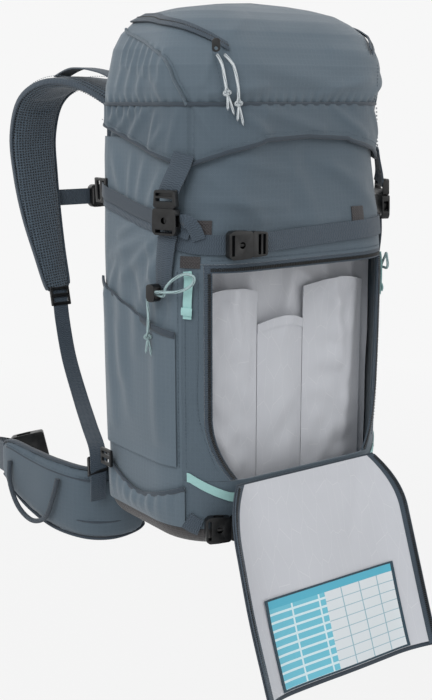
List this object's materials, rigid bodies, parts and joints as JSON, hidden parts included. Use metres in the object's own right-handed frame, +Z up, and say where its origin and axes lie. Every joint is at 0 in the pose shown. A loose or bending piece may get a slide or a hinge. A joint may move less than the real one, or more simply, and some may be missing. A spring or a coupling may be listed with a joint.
{
  "type": "ski touring backpack",
  "caption": "Ski touring backpack with a tilting lid, a front safety compartment behind a fold-down flap, buckled straps, padded harness and hip belt.",
  "frame": {"origin": "middle of the haul loop's crown, where the pack is hung", "axes": "+Z up along the back, -Y out of the front flap, +Y towards the wearer, +X to the wearer's left as worn and to the right in the front view"},
  "size_m": [0.3988, 0.5365, 0.7066],
  "materials": {
    "shell_fabric": "matte ripstop nylon",
    "shell_fabric_light": "matte coated nylon",
    "dark_webbing": "woven webbing",
    "dark_fabric": "matte nylon",
    "mesh": "spacer mesh",
    "lining": "fine woven lining",
    "boot": "coated reinforcement",
    "moulded_black": "satin acetal",
    "mint": "woven trim",
    "pull_cord": "braided cord",
    "card": "printed card",
    "frame_plastic": "sheet plastic",
    "aluminium_stay": "brushed"
  },
  "bodies": {
    "root": {"back_panel": "dark_fabric", "side_panel_left": "shell_fabric", "side_panel_right": "shell_fabric", "front_upper_panel": "shell_fabric", "front_bands": "shell_fabric", "front_lower_panel": "shell_fabric", "base_boot": "boot", "compartment_divider": "lining", "tool_sleeves": "lining", "snow_collar": "shell_fabric_light", "opening_zip": "dark_webbing", "side_pocket_left": "shell_fabric", "side_pocket_right": "shell_fabric", "lower_pocket_left": "shell_fabric", "lower_pocket_right": "shell_fabric", "side_strap_left": "dark_webbing", "side_strap_right": "dark_webbing", "front_strap": "dark_webbing", "front_socket": "moulded_black", "base_strap": "dark_webbing", "base_buckle": "moulded_black", "lid_socket_left": "moulded_black", "lid_socket_right": "moulded_black", "frame_sheet": "frame_plastic", "frame_stays": "aluminium_stay", "yoke": "frame_plastic", "haul_loop": "dark_webbing", "back_pads": "mesh", "lumbar_pad": "mesh", "tool_cords": "mint", "cord_locks": "moulded_black", "mint_trim": "mint", "load_lifters": "dark_webbing"},
    "flap": {"flap_panel": "dark_fabric", "flap_lining": "lining", "flap_zip": "dark_webbing", "info_card": "card"},
    "lid": {"lid_crown": "shell_fabric_light", "lid_skirt": "shell_fabric", "lid_zip": "dark_webbing", "zip_slider": "moulded_black", "zip_pulls": "pull_cord"},
    "lid_strap_left": {"lid_strap_left": "dark_webbing", "lid_prongs_left": "moulded_black"},
    "lid_strap_right": {"lid_strap_right": "dark_webbing", "lid_prongs_right": "moulded_black"},
    "front_plug": {"front_plug": "moulded_black"},
    "shoulder_left": {"shoulder_pad_left": "mesh", "shoulder_web_left": "dark_webbing", "sternum_left": "dark_webbing"},
    "shoulder_right": {"shoulder_pad_right": "mesh", "shoulder_web_right": "dark_webbing", "sternum_right": "dark_webbing", "sternum_prongs": "moulded_black"},
    "belt_left": {"belt_wing_left": "shell_fabric", "belt_strap_left": "dark_webbing"},
    "belt_right": {"belt_wing_right": "shell_fabric", "belt_strap_right": "dark_webbing"},
    "gear_loop_left": {"gear_loop_left": "dark_webbing"},
    "gear_loop_right": {"gear_loop_right": "dark_webbing"}
  },
  "joints": [
    {"name": "flap_hinge", "type": "hinge", "parent": "root", "child": "flap", "pos_m": [0, -0.20141, -0.383], "axis": [-1, 0, 0], "range_deg": [0, 160]},
    {"name": "lid_hinge", "type": "hinge", "parent": "root", "child": "lid", "pos_m": [0, -0.011, 0.04], "axis": [-1, 0, 0], "range_deg": [0, 70]},
    {"name": "lid_strap_left_hang", "type": "hinge", "parent": "lid", "child": "lid_strap_left", "pos_m": [-0.137, -0.1555, -0.059], "axis": [-1, 0, 0], "range_deg": [-70, 0], "deforming": ["lid_prongs_left"]},
    {"name": "lid_strap_right_hang", "type": "hinge", "parent": "lid", "child": "lid_strap_right", "pos_m": [0.137, -0.1555, -0.059], "axis": [-1, 0, 0], "range_deg": [-70, 0], "deforming": ["lid_prongs_right"]},
    {"name": "front_buckle_slide", "type": "slide", "parent": "root", "child": "front_plug", "axis": [0.9945, -0.1045, 0], "range_m": [0, 0.022]},
    {"name": "shoulder_left_swing", "type": "hinge", "parent": "root", "child": "shoulder_left", "pos_m": [-0.092, -0.0065, -0.029], "axis": [0.1606, 0.0118, 0.987], "range_deg": [0, 25], "deforming": ["sternum_prongs", "load_lifters"]},
    {"name": "shoulder_right_swing", "type": "hinge", "parent": "root", "child": "shoulder_right", "pos_m": [0.092, -0.0065, -0.029], "axis": [0.1606, -0.0118, -0.987], "range_deg": [0, 25], "deforming": ["sternum_prongs", "load_lifters"]},
    {"name": "belt_left_swing", "type": "hinge", "parent": "root", "child": "belt_left", "pos_m": [-0.094, -0.0015, -0.456], "axis": [0, 0, 1], "range_deg": [-20, 0]},
    {"name": "belt_right_swing", "type": "hinge", "parent": "root", "child": "belt_right", "pos_m": [0.094, -0.0015, -0.456], "axis": [0, 0, -1], "range_deg": [-20, 0]},
    {"name": "gear_loop_left_swing", "type": "hinge", "parent": "belt_left", "child": "gear_loop_left", "pos_m": [-0.182, 0.0885, -0.428], "axis": [-0.1713, 0.985, 0.0214], "range_deg": [0, 60]},
    {"name": "gear_loop_right_swing", "type": "hinge", "parent": "belt_right", "child": "gear_loop_right", "pos_m": [0.182, 0.0885, -0.428], "axis": [-0.1713, -0.985, -0.0214], "range_deg": [0, 60]}
  ],
  "couplings": [
    {"joint": "lid_strap_left_hang", "follows": "lid_hinge", "ratio": -1},
    {"joint": "lid_strap_right_hang", "follows": "lid_hinge", "ratio": -1}
  ]
}
